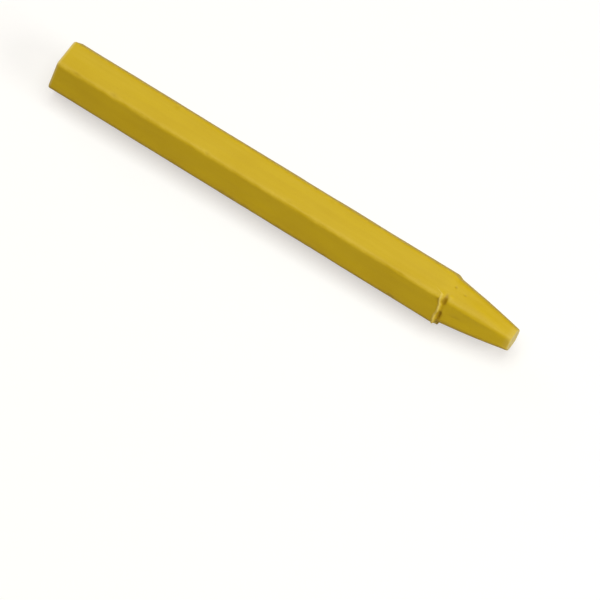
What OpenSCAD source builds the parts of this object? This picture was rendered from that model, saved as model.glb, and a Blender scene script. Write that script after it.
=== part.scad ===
// Hexagonal marking chalk: one pressed stick with rounded long edges, a shoulder with a
// raised lip, and a blunt tip that tapers on six flats of its own. It lies along X on one of
// its flats, with the tip towards +X. The origin is under the middle of its length, on the
// surface it lies on.

/* [Body] */
// Width across two opposite flats, in mm
across_flats = 12; // [9:0.5:16]
// Length from the rear face to the end of the tip
overall_len = 120; // [80:1:160]
// Radius of the six long edges
edge_r = 1.2; // [0.5:0.05:1.5]

/* [Tip] */
// Length of the tip, from the shoulder to its blunt end
tip_len = 17.4; // [8:0.1:30]
// Width of the blunt end across two opposite flats, measured as if its rim were sharp
tip_end_w = 5.3; // [2:0.1:6.5]
// Width of the dulled strip along each long edge of the tip, at the foot of the tip
tip_edge_w = 1.1; // [0.4:0.05:2]
// Radius of the rim round the blunt end
tip_rim_r = 0.4; // [0.1:0.05:0.9]

/* [Shoulder] */
// Width of the shoulder at the middle of a flat, from the flat to the foot of the tip
shoulder_w = 0.55; // [0.45:0.05:1.2]
// Width of the raised lip that runs round the shoulder
lip_w = 0.35; // [0.25:0.05:0.4]
// Height of the lip above the shoulder
lip_h = 0.25; // [0.1:0.05:0.6]
// Width of the bevel along the outer edge of the lip
lip_bevel = 0.1; // [0.05:0.01:0.2]

/* [Rear end] */
// Width of the bevel round the rear face
rear_bevel = 0.3; // [0.1:0.05:0.45]

/* [Hidden] */
$fn = 96;
sides = 6;
side_angle = 360 / sides;
half_flats = across_flats / 2;
// The long edges are arcs about six centres, which lie on a circle of this radius. The level
// part of each flat is as wide as that radius too.
centre_r = (half_flats - edge_r) / cos(side_angle / 2);
shoulder_z = overall_len - tip_len;
tip_base_r = half_flats - shoulder_w;
tip_end_r = tip_end_w / 2;
// Half the angle that a dulled strip spans, seen along the axis
strip_angle = atan(tip_edge_w * cos(side_angle / 2)
    / (2 * tip_base_r - tip_edge_w * sin(side_angle / 2)));
// How much farther from the axis the strips lie than the flats of the tip
strip_ratio = 1 / cos(side_angle / 2 - strip_angle);
// The tip starts this far below the shoulder, so that it is one solid with the body.
tip_root = 1;
// How far a cutter reaches past the surfaces that it trims
past = 1;
// The round corners stand this little proud of the flats, so that the two cross cleanly.
proud = 0.001;

function edge_centre(i) = centre_r * [cos(i * side_angle), sin(i * side_angle)];
function edge_point(i, r, turn) =
    edge_centre(i) + r * [cos(i * side_angle + turn), sin(i * side_angle + turn)];

// Section of the stick, a hexagon with round corners, with its outline moved in by inset
module section(inset = 0) {
    r = edge_r - inset;
    polygon([
        for (i = [0 : sides - 1])
            for (turn = [-side_angle / 2, side_angle / 2])
                edge_point(i, r, turn)
    ]);
    for (i = [0 : sides - 1])
        translate(edge_centre(i)) circle(r + proud);
}

// What a bevel of this width takes off the rim at z = 0, along each of the six flats. The cuts
// run past the corners, where they meet and trim the long edges.
module bevel_cutter(width) {
    for (i = [0 : sides - 1])
        rotate((i + 0.5) * side_angle)
            translate([half_flats, 0, 0])
                rotate([90, 0, 0])
                    linear_extrude(across_flats, center = true)
                        polygon([[-width - past, -past], [past, -past], [past, width + past]]);
}

// Hexagonal body, standing on its rear face, with the lip on top
module body() {
    lip_z = shoulder_z + lip_h;
    difference() {
        linear_extrude(lip_z) section();
        translate([0, 0, shoulder_z]) linear_extrude(lip_h + past) section(lip_w);
        translate([0, 0, lip_z]) mirror([0, 0, 1]) bevel_cutter(lip_bevel);
        bevel_cutter(rear_bevel);
    }
}

// Half of the tip's outline, base_r from the axis at its foot and end_r at its blunt end. The
// rim is an arc that meets both the slanted side and the end face without a step.
module tip_outline(base_r, end_r) {
    lean = atan((base_r - end_r) / tip_len);
    rim_x = end_r - tip_rim_r * (1 - sin(lean)) / cos(lean);
    rim_z = overall_len - tip_rim_r;
    polygon([
        [0, shoulder_z - tip_root],
        [base_r, shoulder_z - tip_root],
        [base_r, shoulder_z],
        [rim_x + tip_rim_r * cos(lean), rim_z + tip_rim_r * sin(lean)],
        [rim_x, overall_len],
        [0, overall_len]
    ]);
    translate([rim_x, rim_z]) circle(tip_rim_r);
}

// Tapered tip: three crossed slabs leave its six flats, and a cone dulls its long edges
module tip() {
    slab_w = 2 * tip_base_r * strip_ratio + past;
    intersection() {
        rotate_extrude() tip_outline(tip_base_r * strip_ratio, tip_end_r * strip_ratio);
        intersection_for(i = [0 : sides / 2 - 1])
            rotate((i + 0.5) * side_angle)
                rotate([90, 0, 0])
                    linear_extrude(slab_w, center = true)
                        for (side = [0, 1])
                            mirror([side, 0]) tip_outline(tip_base_r, tip_end_r);
    }
}

// The whole stick, laid down along X with a flat on the surface
module chalk_stick() {
    color("#d1b62d")
        translate([-overall_len / 2, 0, half_flats])
            rotate([90, 0, 90]) {
                body();
                tip();
            }
}

chalk_stick();
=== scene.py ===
import bpy
import math
import numpy as np
from mathutils import Matrix, Vector


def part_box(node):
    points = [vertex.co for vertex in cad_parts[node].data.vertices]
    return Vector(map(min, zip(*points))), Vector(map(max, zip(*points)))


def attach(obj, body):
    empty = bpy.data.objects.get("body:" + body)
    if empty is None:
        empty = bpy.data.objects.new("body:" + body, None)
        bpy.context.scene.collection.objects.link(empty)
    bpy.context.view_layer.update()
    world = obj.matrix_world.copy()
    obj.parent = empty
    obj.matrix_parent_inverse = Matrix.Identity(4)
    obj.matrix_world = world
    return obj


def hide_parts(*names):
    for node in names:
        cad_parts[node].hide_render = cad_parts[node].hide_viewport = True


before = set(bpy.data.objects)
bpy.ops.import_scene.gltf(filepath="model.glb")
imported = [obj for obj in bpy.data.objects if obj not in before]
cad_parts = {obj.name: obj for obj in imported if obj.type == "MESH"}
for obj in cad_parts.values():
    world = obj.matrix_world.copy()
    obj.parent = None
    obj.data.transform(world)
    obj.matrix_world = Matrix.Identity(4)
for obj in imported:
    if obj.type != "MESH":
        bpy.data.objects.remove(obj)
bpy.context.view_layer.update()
stickLow, stickHigh = (np.array(corner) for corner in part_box("chalk_stick"))
mm = 0.001
print("frame loaded")

# The camera looks down on the tip with one long edge pointing nearly at it.

view = {
    "aim": (0.0160, -0.0191, 0.006),
    "azimuth": 24.84,        # degrees, from straight in front towards the tip
    "elevation": 62.1,
    "roll": 9.42,
    "distance": 1.197,
    "fieldOfView": 6.34,     # degrees
    "nearest": 0.05,
    "farthest": 20,
}


def addCamera(v):
    # stands at aim + distance * back and looks along -back, rolled about that line
    turn, lift, roll = (math.radians(v[k]) for k in ("azimuth", "elevation", "roll"))
    level = Vector((math.cos(turn), math.sin(turn), 0))
    reach = math.cos(lift)
    back = Vector((math.sin(turn) * reach, -math.cos(turn) * reach, math.sin(lift)))
    upright = back.cross(level)
    right = level * math.cos(roll) + upright * math.sin(roll)
    up = back.cross(right)
    lens = bpy.data.cameras.new("camera")
    lens.angle = math.radians(v["fieldOfView"])
    lens.clip_start = v["nearest"]
    lens.clip_end = v["farthest"]
    camera = bpy.data.objects.new("camera", lens)
    place = Matrix.Translation(Vector(v["aim"]) + back * v["distance"])
    camera.matrix_world = place @ Matrix((right, up, back)).transposed().to_4x4()
    bpy.context.scene.collection.objects.link(camera)
    bpy.context.scene.camera = camera


addCamera(view)
print("camera placed")

# The stick is one closed surface: rows along its length, columns round its section. Degrees round
# its axis count from +Y towards +Z.

stick = {
    "columns": 216,            # a multiple of 6
    "cornerShare": 0.34,       # share of the columns that the six rounded edges take
    "bodyRows": 300,
    "nearRows": 26,            # over the body's last stretch before the shoulder
    "nearLength": 4 * mm,
    "stepRows": 30,
    "tipRows": 58,
    "rimRows": 9,
    "faceShares": (0.12, 0.3, 0.48, 0.64, 0.78, 0.89, 0.97),   # the rings on each end face

    "edgeRound": 1.2 * mm,     # radius of the body's long edges
    "rearRound": 0.4 * mm,     # radius of the rear rim
    "tipLength": 17.4 * mm,
    "shoulder": 0.55 * mm,     # step from the body's flats down to the tip's
    "endFlats": 5.3 * mm,      # width of the blunt end across its flats
    "endRound": 0.4 * mm,      # radius of its rim
    "tipEdge": 1.6 * mm,       # radius of the tip's long edges at its foot
    "tipEdgeEnd": 0.85 * mm,   # the same at its blunt end
    "tipBulge": 0.16 * mm,     # how far the tip's flats swell out half way along
    "crown": 0.28 * mm,        # how much more its upper flat swells
    "crownAlong": (0.48, 0.26),   # where, as a share of the tip, and its spread
    "crownTurn": (102, 20),       # the same in degrees round the axis
    "footShift": (-0.02 * mm, 0.29 * mm),    # tip's foot off the body's axis, y and z
    "endShift": (-0.07 * mm, -0.04 * mm),    # the same at its blunt end
    "tipReach": -0.2,          # share of the tip that its section is carried on into the body
    "tipBlend": 1 * mm,        # past the shoulder's plane, where body wear ends and the crown starts

    # The shoulder goes round the stick as a wandering line, sharp and lipped on one side and a
    # soft bend on the other: degrees round the axis, where its slope starts and stops in mm from
    # the shoulder's plane, and how much lip it has.
    "shoulderLine": (
        (0, -1.3, 0.7, 0.05),
        (22, -1.4, 0.8, 0.0),
        (45, -1.4, 0.9, 0.0),
        (75, -2.4, 0.9, 0.0),
        (104, -2.6, 0.8, 0.0),
        (113, -0.5, 0.1, 0.6),
        (120, -0.3, 0.15, 1.0),
        (127, -0.25, 0.2, 1.0),
        (135, 0.08, 0.53, 1.0),
        (150, 0.22, 0.67, 1.0),
        (164, -0.05, 0.45, 1.0),
        (173, 0.0, 0.5, 1.0),
        (182, 0.1, 0.6, 1.0),
        (208, -0.1, 0.5, 0.9),
        (235, 0.2, 0.7, 1.0),
        (262, -0.1, 0.45, 0.6),
        (295, 0.1, 0.6, 0.8),
        (330, -0.2, 0.3, 1.0),
    ),
    "rowsBefore": 0.6 * mm,    # the body's rows end this far before the shoulder's plane
    "rowsAfter": 1.6 * mm,     # the tip's rows start this far past it
    "plainStop": 0.6 * mm,     # a slope that stops here moves none of the tip's rows
    "settleBefore": 14 * mm,   # how far off the rows of the body stop following the slope
    "settleAfter": 6 * mm,     # the same on the tip
    "stepLead": 0.5 * mm,      # the step's rows start this far before its slope
    "stepTrail": 0.95 * mm,    # and end this far past it

    # The lip, from where the slope starts: where it begins and ends its rise, and its fall.
    "lipProfile": (-0.4 * mm, -0.05 * mm, 0.1 * mm, 0.4 * mm),
    "lipRise": 0.08 * mm,      # how far it stands out of the flats
    "lipUneven": 0.25,         # share of that rise which comes and goes
    "lipWander": 0.06 * mm,    # how far it leans to and fro along the stick
    "lipSeeds": (11, 12),
    "lipRipple": 0.5,          # wavelength of both on a circle of radius 1
    "groove": 0.12 * mm,       # how deep the foot of the step is cut into the tip
    "grooveAt": 0.15 * mm,     # past the slope's stop
    "grooveWidth": 0.3 * mm,

    # Burrs on the lip: degrees round the axis, half width in degrees, mm outwards, mm forwards.
    "burrs": (
        (122, 4, 0.1, -0.05),
        (177, 10, 0.2, 0.14),
        (150, 7, 0.03, 0.0),
        (241, 6, 0.15, 0.1),
        (322, 5, 0.12, 0.16),
    ),
    "flash": 0.25 * mm,        # the most that a burr stands out of the box sideways
    "flashTop": 0.1 * mm,      # and upwards

    # Single marks near the shoulder: mm from it towards the tip, degrees round the axis, mm
    # outwards, and half length and half width in mm.
    "marks": (
        (0.74, 123, -0.42, 0.4, 0.75),
        (0.55, 112, -0.07, 0.3, 0.5),
        (0.95, 162, -0.36, 0.34, 0.75),
        (0.95, 172, -0.28, 0.34, 0.6),
        (1.1, 79, -0.16, 0.2, 0.24),
        (3.8, 83, -0.1, 0.22, 0.2),
        (1.55, 112, 0.13, 0.35, 0.35),
        (-0.6, 128, -0.06, 0.7, 0.5),
        (4.4, 151, -0.05, 1.6, 0.5),
    ),
    "lipCover": 0.85,          # how much the lip keeps the marks off itself

    # Nicks along the body's long edges, placed at random: depth, half length, half width in mm.
    "nicks": 46,
    "nickSeed": 31,
    "nickDepth": (0.03, 0.11),
    "nickLength": (0.35, 0.9),
    "nickWidth": (0.25, 0.5),
    "nickTurn": 2.5,           # how many degrees off the edge they stray
    "nickMargin": 1 * mm,      # how far they stay off the body's two ends

    "edgeWear": 0.05 * mm,
    "edgeSpread": 5,           # degrees round the axis over which an edge is worn
    "wave": 0.02 * mm,         # unevenness of the flats
    "drag": 0.006 * mm,        # faint lengthwise lines from the mould
    "faceStart": 0.3 * mm,     # inset past which the waves and the wear leave an end face alone

    # ripples: seed, share by which X counts, wavelength
    "edgeRipple": (21, 0.5, 2.2 * mm),
    "waveRipple": (22, 0.35, 5 * mm),
    "dragRipple": (23, 0.05, 1.1 * mm),

    # how rubbed and bare the skin is, with a painted highlight on the body's edges and the lip and
    # painted shade in the pits, as masks for the chalk
    # paleness of the body's long edges: wear, and partly a painted highlight
    "edgeWearAndHighlight": 0.3,
    "edgeWearAndHighlightUneven": 0.25,
    "rubRim": 0.5,
    "rimInset": 0.1 * mm,      # a rim is where the outline is set in by this, and the rings of
    "rimScale": 0.9,           # its face that are scaled by more than this
    # paleness of the lip: wear, and partly a painted highlight
    "lipWearAndHighlight": 1.6,
    "rubHeight": 0.15 * mm,    # a mark that stands out this far is wholly rubbed
    "pitShadeDepth": 0.16 * mm,     # a mark this deep gets the full painted shade of a pit
    "nickShade": 0.4,
    "bareEnd": 0.2,            # share that the skin has lost near the blunt end
    "bareEndFrom": 1.8 * mm,
    "bareEndTo": 0.2 * mm,
    "bareFace": 0.12 * mm,     # how far back from the blunt end it is wholly bare
    "bareRear": 0.7 * mm,
    "bareLip": 0.35,
}


def smooth(value, low, high):
    # 0 below low, 1 above high, and an even s-curve between
    s = np.clip((value - low) / (high - low), 0, 1)
    return s * s * (3 - 2 * s)


def bell(value, middle, width):
    # 1 at the middle, falling as exp(-square) of the distance in widths
    return np.exp(-((value - middle) / width) ** 2)


def turnGap(angle, middle):
    # signed distance on the circle, in degrees
    return (angle - middle + 180) % 360 - 180


def roundAxis(angle, table, column):
    # value of one of the table's columns at an angle, eased between its rows all the way round
    turns = np.array([row[0] for row in table] + [360])
    values = np.array([row[column] for row in table] + [table[0][column]])
    k = np.clip(np.searchsorted(turns, angle, side="right") - 1, 0, len(table) - 1)
    return values[k] + (values[k + 1] - values[k]) * smooth(angle, turns[k], turns[k + 1])


def ripple(seed, axes, wavelength, count=14):
    # sum of sine waves in seeded directions over the given coordinates, mostly within -1 to 1
    rng = np.random.default_rng(seed)
    total = 0
    for _ in range(count):
        way = rng.normal(size=len(axes))
        way *= 2 * math.pi / (np.linalg.norm(way) * wavelength * rng.uniform(0.6, 1.6))
        total = total + np.sin(sum(w * a for w, a in zip(way, axes)) + rng.uniform(0, 2 * math.pi))
    return total / math.sqrt(count)


def hexagonWalk(count, cornerShare):
    # Goes round a hexagon once. In each sixth, the first columns stand at a corner and turn by 60
    # degrees, and the others go along the flat to the next corner. Gives the unit hexagon's points
    # and the outward directions, so that an outline is core * points + edge * directions.
    t = np.arange(count) * 6.0 / count
    side = np.floor(t)
    part = t - side
    turn = np.clip(part / cornerShare, 0, 1)
    along = np.clip((part - cornerShare) / (1 - cornerShare), 0, 1)[:, None]
    outward = np.radians(60 * side - 30 + 60 * turn)
    near, far = np.radians(60 * side), np.radians(60 * side + 60)
    points = np.stack([np.cos(near), np.sin(near)], 1) * (1 - along)
    points += np.stack([np.cos(far), np.sin(far)], 1) * along
    return points, np.stack([np.cos(outward), np.sin(outward)], 1)


def stickRows(s, rearX, endX, footHalf):
    # Rows from the middle of the rear face to the middle of the blunt end. Each has a place along
    # X, an inset of its outline, a scale for the two end faces, and a share q that runs from 0 to
    # 1 over the shoulder's step, and is -1 on the body and 2 on the tip.
    ofBody, ofTip = -1.0, 2.0
    rearRound, endRound = s["rearRound"], s["endRound"]
    faceShares = np.array(s["faceShares"])
    rows = []

    def add(x, q, inset=0.0, scale=1.0):
        # one row, or as many as there are numbers in the longest of the four
        rows.append(np.stack(np.broadcast_arrays(*np.atleast_1d(x, inset, scale, q)), 1))

    add(rearX, ofBody, inset=rearRound, scale=faceShares)
    arc = np.linspace(0, math.pi / 2, s["rimRows"])
    add(rearX + rearRound * (1 - np.cos(arc)), ofBody, inset=rearRound * (1 - np.sin(arc)))
    shoulderX = endX - s["tipLength"]
    bodyEnd = shoulderX - s["rowsBefore"]
    nearStart = bodyEnd - s["nearLength"]
    add(np.linspace(rearX + rearRound, nearStart, s["bodyRows"])[1:], ofBody)
    add(np.linspace(nearStart, bodyEnd, s["nearRows"])[1:], ofBody)
    add(shoulderX, np.linspace(0, 1, s["stepRows"]))

    lean = math.atan((footHalf - s["endFlats"] / 2) / s["tipLength"])
    rimX = endX - endRound
    rimStart = rimX + endRound * math.sin(lean)
    add(np.linspace(shoulderX + s["rowsAfter"], rimStart, s["tipRows"])[1:], ofTip)
    arc = np.linspace(lean, math.pi / 2, s["rimRows"])[1:]
    add(rimX + endRound * np.sin(arc), ofTip, inset=endRound * (math.cos(lean) - np.cos(arc)))
    add(endX, ofTip, inset=endRound * math.cos(lean), scale=faceShares[::-1])
    return np.concatenate(rows), shoulderX


def shoulderStep(s, x, q, angle, shoulderX):
    # The slope is short where the shoulder is sharp and long where it is soft, and the rows on
    # both sides of it move to make room. Gives the moved rows, drop, which goes from 0 on the body
    # to 1 on the tip over the slope, and the shares of the lip and of the groove.
    start, stop = (shoulderX + roundAxis(angle, s["shoulderLine"], k) * mm for k in (1, 2))
    lipShare = roundAxis(angle, s["shoulderLine"], 3)
    onStep = (q >= 0) & (q <= 1)
    follow = smooth(x, shoulderX - s["settleBefore"], shoulderX - s["rowsBefore"])
    before = x + (start - shoulderX) * follow
    follow = 1 - smooth(x, shoulderX + s["rowsAfter"], shoulderX + s["settleAfter"])
    after = x + (stop - shoulderX - s["plainStop"]) * follow
    across = start - s["stepLead"] + (stop - start + s["stepLead"] + s["stepTrail"]) * q
    x = np.where(onStep, across, np.where(q < 0, before, after))
    drop = smooth(x, start, stop)
    riseFrom, riseTo, fallFrom, fallTo = s["lipProfile"]
    lip = smooth(x, start + riseFrom, start + riseTo)
    lip = lip * (1 - smooth(x, start + fallFrom, start + fallTo)) * lipShare * onStep
    groove = bell(x, stop + s["grooveAt"], s["grooveWidth"]) * lipShare
    return x, drop, lip, groove


def stickOutlines(s, points, outward, half, inset, share, drop):
    # An outline is core * hexagon + (edge - inset) * outward, with core = (half of the width
    # across the flats - edge) / cos 30. The body keeps one, and the tip's shrinks along it and
    # shifts off the axis. A row has (1 - drop) * body + drop * tip.
    cos30 = math.cos(math.radians(30))
    bodyEdge = s["edgeRound"]
    bodyCore = (half - bodyEdge) / cos30
    footHalf = half - s["shoulder"]
    tipHalf = footHalf + (s["endFlats"] / 2 - footHalf) * share
    tipHalf = tipHalf + 4 * s["tipBulge"] * share * (1 - share)
    tipEdge = s["tipEdge"] + (s["tipEdgeEnd"] - s["tipEdge"]) * share
    tipCore = (tipHalf - tipEdge) / cos30
    outlines = []
    for k in (0, 1):
        body = bodyCore * points[:, k] + (bodyEdge - inset) * outward[:, k]
        tip = tipCore * points[:, k] + (tipEdge - inset) * outward[:, k]
        tip = tip + s["footShift"][k] * (1 - share) + s["endShift"][k] * share
        outlines.append((1 - drop) * body + drop * tip)
    return outlines


def dents(x, angle, radius, marks):
    # sum of gaussian bumps and hollows, each at its own place along and round the stick
    total = np.zeros(np.broadcast(x, angle).shape)
    for along, turn, rise, halfLength, halfWidth in marks:
        across = np.radians(turnGap(angle, turn)) * radius
        total += rise * bell(x, along, halfLength) * bell(across, 0, halfWidth)
    return total


def edgeNicks(s, rearX, shoulderX):
    # seeded marks at random places along the body, each close to one of its six long edges
    rng = np.random.default_rng(s["nickSeed"])
    nicks = []
    for _ in range(s["nicks"]):
        place = rng.uniform(rearX + s["nickMargin"], shoulderX - s["nickMargin"])
        turn = 60 * rng.integers(0, 6) + rng.normal(0, s["nickTurn"])
        ranges = (s["nickDepth"], s["nickLength"], s["nickWidth"])
        depth, length, width = (rng.uniform(*span) * mm for span in ranges)
        nicks.append((place, turn, -depth, length, width))
    return nicks


def stickSurface(s, low, high):
    # Outlines on all the rows, and then small smooth moves along the outward directions, which
    # raise the lip, cut the marks and wear the surface. Gives the grid of points and three masks.
    half = (high[2] - low[2]) / 2
    points, outward = hexagonWalk(s["columns"], s["cornerShare"])
    rows, shoulderX = stickRows(s, low[0], high[0], half - s["shoulder"])
    x, inset, scale, q = (rows[:, k:k + 1] for k in range(4))
    bodyY, bodyZ = stickOutlines(s, points, outward, half, inset=0, share=0, drop=0)
    angle = np.degrees(np.arctan2(bodyZ, bodyY))[None, :] % 360
    x, drop, lip, groove = shoulderStep(s, x, q, angle, shoulderX)
    share = np.clip((x - shoulderX) / s["tipLength"], s["tipReach"], 1)
    y, z = (scale * v for v in stickOutlines(s, points, outward, half, inset, share, drop))
    radius = np.hypot(y, z)

    # the lip and its burrs stand out of the shoulder, and the foot of its step is cut in
    ringPlace = (np.cos(np.radians(angle)), np.sin(np.radians(angle)))
    wander, unevenness = (ripple(seed, ringPlace, s["lipRipple"]) for seed in s["lipSeeds"])
    forward = lip * s["lipWander"] * wander
    height = s["lipRise"] * (1 + s["lipUneven"] * unevenness)
    out = lip * height - groove * s["groove"]
    for turn, spread, burrOut, burrForward in s["burrs"]:
        here = lip * bell(turnGap(angle, turn), 0, spread)
        forward = forward + here * burrForward * mm
        out = out + here * burrOut * mm

    def drawnOut(seed, shareOfX, wavelength):
        # a ripple whose waves are 1 / shareOfX times as long along the stick as across it
        return ripple(seed, (x * shareOfX, y, z), wavelength)

    # wear of the long edges, uneven flats and faint lengthwise lines, none of them on the faces
    corner = bell((angle + 30) % 60 - 30, 0, s["edgeSpread"])
    alongEdges = drawnOut(*s["edgeRipple"])
    side = 1 - smooth(inset, 0, s["faceStart"])
    wear = -s["edgeWear"] * corner * (0.5 + 0.5 * alongEdges)
    uneven = s["wave"] * drawnOut(*s["waveRipple"]) + s["drag"] * drawnOut(*s["dragRipple"])

    # nicks, single marks, and the swell of the tip's upper flat
    marks = [(shoulderX + m[0] * mm, m[1]) + tuple(v * mm for v in m[2:]) for m in s["marks"]]
    nicked = dents(x, angle, radius, edgeNicks(s, low[0], shoulderX))
    dented = dents(x, angle, radius, marks) * (1 - s["lipCover"] * lip)
    onTip = smooth(x, shoulderX, shoulderX + s["tipBlend"])
    crownTurn, crownSpread = s["crownTurn"]
    crown = s["crown"] * bell(share, *s["crownAlong"]) * onTip
    crown = crown * bell(turnGap(angle, crownTurn), 0, crownSpread)
    out = out + side * (wear + uneven) + nicked + dented + crown
    x = x + forward
    y = y + out * outward[:, 0]
    z = z + out * outward[:, 1]

    # nothing goes below the flat that the stick lies on, and only burrs stand out of its box
    x = np.clip(x, low[0], high[0])
    y = np.clip(y, low[1] - s["flash"], high[1] + s["flash"])
    z = np.clip(z + half, 0, high[2] + s["flashTop"])

    rims = smooth(inset, 0, s["rimInset"]) * (scale > s["rimScale"])
    # rub mask: pale wear on the body's edges, the rims, the lip and raised marks; on the edges and
    # the lip it is also a painted highlight
    wearAndHighlight = corner * (s["edgeWearAndHighlight"] + s["edgeWearAndHighlightUneven"] * alongEdges) * side * (1 - onTip)
    wearAndHighlight = wearAndHighlight + s["rubRim"] * rims + s["lipWearAndHighlight"] * lip + dented / s["rubHeight"]
    # pit mask: painted shade in the hollows of the marks and the nicks, strongest where they are
    # deepest
    pitShade = -(dented + s["nickShade"] * nicked) / s["pitShadeDepth"]
    bare = s["bareEnd"] * smooth(x, high[0] - s["bareEndFrom"], high[0] - s["bareEndTo"])
    bare = bare + (1 - s["bareEnd"]) * smooth(x, high[0] - s["bareFace"], high[0])
    bare = bare + 1 - smooth(x, low[0], low[0] + s["bareRear"]) + s["bareLip"] * lip
    masks = {"wearAndHighlight": np.clip(wearAndHighlight, 0, 1), "pitShade": np.clip(pitShade, 0, 1), "bare": bare}
    return np.stack([x, y, z], 2), masks


def closedMesh(name, grid, masks):
    # quads between neighbouring rows and columns, and a fan of triangles over each end
    count, columns = grid.shape[:2]
    ends = np.stack([grid[0].mean(0), grid[-1].mean(0)])
    ends[:, 0] = (grid[0, 0, 0], grid[-1, 0, 0])
    points = np.concatenate([grid.reshape(-1, 3), ends])
    row, column = np.meshgrid(np.arange(count - 1), np.arange(columns), indexing="ij")
    a = (row * columns + column).ravel()
    b = (row * columns + (column + 1) % columns).ravel()
    quads = np.stack([a, b, b + columns, a + columns], 1)
    k = np.arange(columns)
    first, last = len(points) - 2, len(points) - 1
    start = np.stack([np.full(columns, first), (k + 1) % columns, k], 1)
    lastRow = (count - 1) * columns
    stop = np.stack([np.full(columns, last), lastRow + k, lastRow + (k + 1) % columns], 1)
    mesh = bpy.data.meshes.new(name)
    mesh.from_pydata(points.tolist(), [], quads.tolist() + start.tolist() + stop.tolist())
    mesh.shade_smooth()
    for label, values in masks.items():
        layer = mesh.attributes.new(label, "FLOAT", "POINT")
        flat = np.concatenate([values.ravel(), [values[0].mean(), values[-1].mean()]])
        layer.data.foreach_set("value", flat.astype(np.float32))
    piece = bpy.data.objects.new(name, mesh)
    bpy.context.scene.collection.objects.link(piece)
    return piece


chalkStick = closedMesh("pressed_chalk", *stickSurface(stick, stickLow, stickHigh))
print("stick made,", len(chalkStick.data.polygons), "faces")

# Pressed chalk bound with wax: a dull satin skin over a slightly mottled, finely grained body.

chalk = {
    "colour": (0.61, 0.435, 0.005),
    "deepColour": (0.50, 0.325, 0.002),      # darker clouds and pores
    "paintedShadeColour": (0.36, 0.215, 0.001),    # painted shade in the bottoms of pits and nicks
    "paleDustAndHighlightColour": (0.73, 0.54, 0.05),        # rubbed edges and lip, partly a painted highlight, and dusty grains
    "bareColour": (0.80, 0.69, 0.29),        # the ends, where the chalk is bare and dusty
    "clouds": 0.3,             # how far each of these goes towards its colour
    "lines": 0.16,
    "darkGrains": 0.4,
    "pores": 0.8,
    "paleGrains": 0.32,
    "wearAndHighlightMix": 0.9,
    "pitShadeAmount": 0.9,
    "patches": (0.36, 0.66),   # noise at which rubbed places are least and most pale
    "patchScale": 1400.0,
    "patchNoise": (4.0, 0.6),  # detail and roughness
    "patchLeast": 0.35,
    "bareLeast": 0.52,         # how far the bare ends go towards their colour
    "bareUneven": 0.4,         # and how much the patches add to that
    "roughness": 0.46,
    "roughClouds": 0.08,       # what each of these adds to it
    "roughRubbed": 0.2,
    "roughBare": 0.25,
    "roughPores": 0.2,
    "specular": 0.35,
    "bumpHeight": 0.035 * mm,
    "bumpStrength": 0.6,
    "grainHeight": 0.5,        # shares of the bump
    "mouldHeight": 0.5,
    "grain": {
        "scale": 6500.0,
        "fineNoise": (2.0, 0.6),   # detail and roughness
        "middleNoise": (3.0, 0.6),
        "middleScale": 0.28,   # shares of the scale above
        "poreScale": 0.17,
        "pale": (0.62, 0.74),  # fine noise at which pale and dark grains start and are full
        "dark": (0.38, 0.27),
        "poreSize": (0.16, 0.05),
        "poreSpread": (0.5, 0.62),
        "poreDepth": 0.9,
        "middleHeight": 0.65,
        "fineHeight": 0.35,
    },
    "mould": {
        "scale": 700.0,
        "lineNoise": (4.0, 0.6),
        "cloudNoise": (4.0, 0.55),
        "lineStretch": (0.035, 1, 1),
        "cloudStretch": (0.4, 1, 1),
        "cloudScale": 0.22,    # share of the scale above
        "lines": (0.42, 0.68),
        "clouds": (0.35, 0.68),
        "lineHeight": 0.8,
        "cloudHeight": 0.2,
    },
}


def newGroup(name, scale, outputs):
    # an empty group that takes a Vector and a Scale and gives the named values
    group = bpy.data.node_groups.new(name, "ShaderNodeTree")
    group.interface.new_socket(name="Vector", in_out="INPUT", socket_type="NodeSocketVector")
    socket = group.interface.new_socket(name="Scale", in_out="INPUT", socket_type="NodeSocketFloat")
    socket.default_value = scale
    for label in outputs:
        group.interface.new_socket(name=label, in_out="OUTPUT", socket_type="NodeSocketFloat")
    given = group.nodes.new("NodeGroupInput").outputs
    made = group.nodes.new("NodeGroupOutput").inputs
    return group, given["Vector"], given["Scale"], made


def placeGroup(tree, group, vector, scale):
    # the group in a material, with its own vector and scale
    node = tree.nodes.new("ShaderNodeGroup")
    node.node_tree = group
    tree.links.new(vector, node.inputs["Vector"])
    node.inputs["Scale"].default_value = scale
    return node.outputs


def addMath(tree, operation, first, second=None, third=None, clamp=False):
    # one operation on numbers or sockets
    node = tree.nodes.new("ShaderNodeMath")
    node.operation = operation
    node.use_clamp = clamp
    for socket, value in zip(node.inputs, (first, second, third)):
        if isinstance(value, (int, float)):
            socket.default_value = value
        elif value is not None:
            tree.links.new(value, socket)
    return node.outputs[0]


def addTimes(tree, first, second, clamp=False):
    # first * second
    return addMath(tree, "MULTIPLY", first, second, clamp=clamp)


def addTimesPlus(tree, first, second, third, clamp=False):
    # first * second + third
    return addMath(tree, "MULTIPLY_ADD", first, second, third, clamp)


def addNoise(tree, vector, scale, detail, rough):
    # noise round 0.5, with waves as long as 1 / scale and finer ones over them
    node = tree.nodes.new("ShaderNodeTexNoise")
    tree.links.new(vector, node.inputs["Vector"])
    if isinstance(scale, (int, float)):
        node.inputs["Scale"].default_value = scale
    else:
        tree.links.new(scale, node.inputs["Scale"])
    node.inputs["Detail"].default_value = detail
    node.inputs["Roughness"].default_value = rough
    return node.outputs[0]


def addStretch(tree, vector, scale):
    # the vector times a scale for each axis, where a small one draws the pattern out
    node = tree.nodes.new("ShaderNodeMapping")
    tree.links.new(vector, node.inputs["Vector"])
    node.inputs["Scale"].default_value = scale
    return node.outputs[0]


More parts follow.
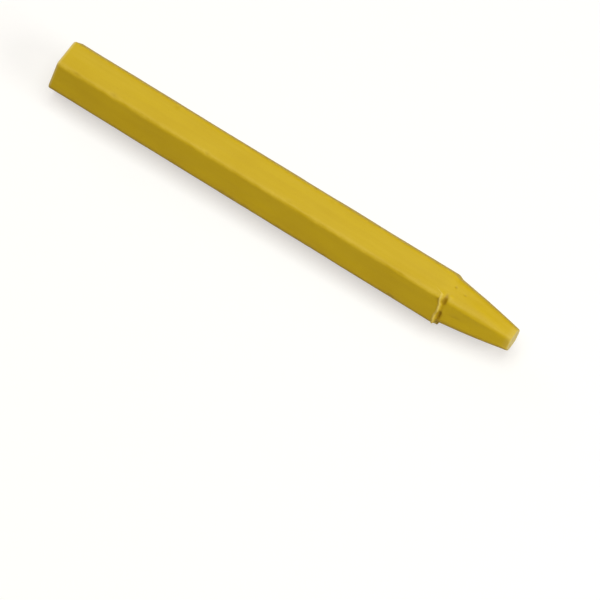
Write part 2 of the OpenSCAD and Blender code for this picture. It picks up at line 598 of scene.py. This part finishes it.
def addRange(tree, value, span, newLow=0.0, newHigh=1.0):
    # goes from newLow to newHigh while the value goes over the span, and stays level past it
    node = tree.nodes.new("ShaderNodeMapRange")
    tree.links.new(value, node.inputs["Value"])
    labels = ("From Min", "From Max", "To Min", "To Max")
    for label, number in zip(labels, (*span, newLow, newHigh)):
        node.inputs[label].default_value = number
    return node.outputs[0]


def addMix(tree, factor, first, second):
    # first * (1 - factor) + second * factor, for colours
    node = tree.nodes.new("ShaderNodeMix")
    node.data_type = "RGBA"
    tree.links.new(factor, node.inputs[0])
    for socket, value in zip((node.inputs[6], node.inputs[7]), (first, second)):
        if isinstance(value, tuple):
            socket.default_value = value + (1.0,)
        else:
            tree.links.new(value, socket)
    return node.outputs[2]


def chalkGrainGroup(g):
    # Fine pressed grains: single pale and dark specks where fine noise is high or low, tiny pores
    # near the middles of cells, and a rough height that is the two noises less the pores.
    labels = ("Pale", "Dark", "Height", "Pores")
    group, vector, scale, made = newGroup("chalkGrain", g["scale"], labels)
    fine = addNoise(group, vector, scale, *g["fineNoise"])
    middleScale = addTimes(group, scale, g["middleScale"])
    middle = addNoise(group, vector, middleScale, *g["middleNoise"])
    cells = group.nodes.new("ShaderNodeTexVoronoi")
    group.links.new(vector, cells.inputs["Vector"])
    group.links.new(addTimes(group, scale, g["poreScale"]), cells.inputs["Scale"])
    pores = addRange(group, cells.outputs["Distance"], g["poreSize"])
    pores = addTimes(group, pores, addRange(group, middle, g["poreSpread"]))
    height = addTimes(group, fine, g["fineHeight"])
    height = addTimesPlus(group, middle, g["middleHeight"], height)
    height = addMath(group, "SUBTRACT", height, addTimes(group, pores, g["poreDepth"]))
    group.links.new(addRange(group, fine, g["pale"]), made["Pale"])
    group.links.new(addRange(group, fine, g["dark"]), made["Dark"])
    group.links.new(pores, made["Pores"])
    group.links.new(height, made["Height"])
    return group


def mouldMarksGroup(m):
    # long faint lines and clouds drawn out along X, as a stick gets on its way out of the mould
    labels = ("Lines", "Clouds", "Height")
    group, vector, scale, made = newGroup("mouldMarks", m["scale"], labels)
    linePlace = addStretch(group, vector, m["lineStretch"])
    lines = addNoise(group, linePlace, scale, *m["lineNoise"])
    cloudPlace = addStretch(group, vector, m["cloudStretch"])
    cloudScale = addTimes(group, scale, m["cloudScale"])
    clouds = addNoise(group, cloudPlace, cloudScale, *m["cloudNoise"])
    height = addTimes(group, clouds, m["cloudHeight"])
    height = addTimesPlus(group, lines, m["lineHeight"], height)
    group.links.new(addRange(group, lines, m["lines"]), made["Lines"])
    group.links.new(addRange(group, clouds, m["clouds"]), made["Clouds"])
    group.links.new(height, made["Height"])
    return group


def chalkMaterial(c):
    # each layer of colour is mixed over the one before, and roughness and height are sums
    material = bpy.data.materials.new("pressedChalk")
    material.use_nodes = True
    tree = material.node_tree
    shader = tree.nodes["Principled BSDF"]
    place = tree.nodes.new("ShaderNodeTexCoord").outputs["Object"]
    grain = placeGroup(tree, chalkGrainGroup(c["grain"]), place, c["grain"]["scale"])
    mould = placeGroup(tree, mouldMarksGroup(c["mould"]), place, c["mould"]["scale"])
    masks = {}
    for label in ("wearAndHighlight", "pitShade", "bare"):
        node = tree.nodes.new("ShaderNodeAttribute")
        node.attribute_name = label
        masks[label] = node.outputs["Fac"]
    patches = addNoise(tree, place, c["patchScale"], *c["patchNoise"])
    patches = addRange(tree, patches, c["patches"], c["patchLeast"])

    # colour: clouds and lines in the skin, grains over them, rubbed edges and lip paler with a
    # painted highlight, painted shade in the hollows
    cloudShare = addTimes(tree, mould["Lines"], c["lines"])
    cloudShare = addTimesPlus(tree, mould["Clouds"], c["clouds"], cloudShare)
    deepShare = addTimes(tree, grain["Pores"], c["pores"])
    deepShare = addTimesPlus(tree, grain["Dark"], c["darkGrains"], deepShare, clamp=True)
    # rubbed places paler: wear, and along the edges and the lip a painted highlight
    wearHighlightShare = addTimes(tree, masks["wearAndHighlight"], patches)
    paleDustAndHighlightShare = addTimes(tree, grain["Pale"], c["paleGrains"])
    paleDustAndHighlightShare = addTimesPlus(tree, wearHighlightShare, c["wearAndHighlightMix"], paleDustAndHighlightShare, clamp=True)
    bareShare = addTimesPlus(tree, patches, c["bareUneven"], c["bareLeast"])
    bareShare = addTimes(tree, masks["bare"], bareShare, clamp=True)
    # painted shade: pits and nicks are darkened towards the shade colour
    pitShadeShare = addTimes(tree, masks["pitShade"], c["pitShadeAmount"])
    colour = addMix(tree, cloudShare, c["colour"], c["deepColour"])
    colour = addMix(tree, deepShare, colour, c["deepColour"])
    colour = addMix(tree, paleDustAndHighlightShare, colour, c["paleDustAndHighlightColour"])
    colour = addMix(tree, bareShare, colour, c["bareColour"])
    colour = addMix(tree, pitShadeShare, colour, c["paintedShadeColour"])
    tree.links.new(colour, shader.inputs["Base Color"])

    # roughness: rubbed, bare and porous places are duller than the waxy skin
    rough = addTimesPlus(tree, mould["Clouds"], c["roughClouds"], c["roughness"])
    rough = addTimesPlus(tree, wearHighlightShare, c["roughRubbed"], rough)
    rough = addTimesPlus(tree, bareShare, c["roughBare"], rough)
    rough = addTimesPlus(tree, grain["Pores"], c["roughPores"], rough, clamp=True)
    tree.links.new(rough, shader.inputs["Roughness"])
    shader.inputs["Specular IOR Level"].default_value = c["specular"]

    height = addTimes(tree, mould["Height"], c["mouldHeight"])
    height = addTimesPlus(tree, grain["Height"], c["grainHeight"], height)
    bump = tree.nodes.new("ShaderNodeBump")
    bump.inputs["Strength"].default_value = c["bumpStrength"]
    bump.inputs["Distance"].default_value = c["bumpHeight"]
    tree.links.new(height, bump.inputs["Height"])
    tree.links.new(bump.outputs["Normal"], shader.inputs["Normal"])
    return material


chalkStick.data.materials.append(chalkMaterial(chalk))
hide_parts("chalk_stick")
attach(chalkStick, "root")
print("chalk finished")

# A pale floor, a large soft light over the stick, one low beyond its tip and a weak one behind it,
# and an even fill from all round.

studio = {
    "floorRadius": 3.0,
    "floorRings": (0.02, 0.1, 0.35, 1.0),    # shares of the radius
    "floorTurns": 64,
    "floorShade": 0.45,
    "floorRoughness": 0.9,
    "floorSpecular": 0.1,
    "floorLift": 0.57,         # what the floor adds for the camera alone, near the stick
    "floorFade": (0.12, 0.6),  # distances over which that grows to white
    "fill": (0.20, 0.11, 0.05),
    "lamps": {
        # where it stands from the stick's middle, distance, size, power and colour
        "softOverhead": ((0.0, 0.0, 1.0), 0.9, 0.8, 6.1, (0.93, 1.0, 0.98)),
        "tipSide": ((0.85, 0.0, 0.5), 0.9, 0.5, 4.0, (0.98, 1.0, 0.96)),
        "rearSide": ((-0.9, 0.35, 0.3), 0.9, 0.6, 1.8, (1.0, 1.0, 1.0)),
    },
}


def floorMesh(s):
    # a disc: rings of points at growing radii round its middle, at z = 0
    count = s["floorTurns"]
    turns = np.arange(count) * 2 * math.pi / count
    ring = np.stack([np.cos(turns), np.sin(turns), np.zeros(count)], 1)
    radii = s["floorRadius"] * np.array(s["floorRings"])
    points = np.concatenate([ring * r for r in radii] + [np.zeros((1, 3))])
    k = np.arange(count)
    following = (k + 1) % count
    faces = np.stack([np.full(count, len(points) - 1), k, following], 1).tolist()
    for n in range(len(radii) - 1):
        inner, outer = n * count, (n + 1) * count
        band = np.stack([inner + k, outer + k, outer + following, inner + following], 1)
        faces.extend(band.tolist())
    mesh = bpy.data.meshes.new("floor")
    mesh.from_pydata(points.tolist(), [], faces)
    return mesh


def addFloor(s):
    # one even shade, lifted for the camera by an amount that grows with the distance
    mesh = floorMesh(s)
    floor = bpy.data.objects.new("floor", mesh)
    bpy.context.scene.collection.objects.link(floor)
    material = bpy.data.materials.new("paleFloor")
    material.use_nodes = True
    tree = material.node_tree
    shader = tree.nodes["Principled BSDF"]
    shader.inputs["Base Color"].default_value = (s["floorShade"],) * 3 + (1,)
    shader.inputs["Roughness"].default_value = s["floorRoughness"]
    shader.inputs["Specular IOR Level"].default_value = s["floorSpecular"]
    shader.inputs["Emission Color"].default_value = (1, 1, 1, 1)
    length = tree.nodes.new("ShaderNodeVectorMath")
    length.operation = "LENGTH"
    place = tree.nodes.new("ShaderNodeTexCoord").outputs["Object"]
    tree.links.new(place, length.inputs[0])
    lift = addRange(tree, length.outputs["Value"], s["floorFade"], s["floorLift"])
    cameraRay = tree.nodes.new("ShaderNodeLightPath").outputs["Is Camera Ray"]
    tree.links.new(addTimes(tree, lift, cameraRay), shader.inputs["Emission Strength"])
    mesh.materials.append(material)


def addWorld(s):
    # white for the camera, and the weak fill for everything else
    world = bpy.data.worlds.new("studioFill")
    bpy.context.scene.world = world
    world.use_nodes = True
    tree = world.node_tree
    background = tree.nodes["Background"]
    background.inputs["Strength"].default_value = 1
    cameraRay = tree.nodes.new("ShaderNodeLightPath").outputs["Is Camera Ray"]
    colour = addMix(tree, cameraRay, s["fill"], (1.0, 1.0, 1.0))
    tree.links.new(colour, background.inputs["Color"])


def addAreaLight(name, target, way, distance, size, power, colour):
    # a square lamp at target + distance * way, which shines back at the target
    lamp = bpy.data.lights.new(name, "AREA")
    lamp.shape = "SQUARE"
    lamp.size = size
    lamp.energy = power
    lamp.color = colour
    light = bpy.data.objects.new(name, lamp)
    source = target + Vector(way).normalized() * distance
    facing = (source - target).normalized().to_track_quat("Z", "Y").to_matrix().to_4x4()
    light.matrix_world = Matrix.Translation(source) @ facing
    light.visible_camera = False
    bpy.context.scene.collection.objects.link(light)


addFloor(studio)
addWorld(studio)
for name, settings in studio["lamps"].items():
    addAreaLight(name, Vector(view["aim"]), *settings)
bpy.context.scene.view_settings.view_transform = "Standard"
print("studio lit")
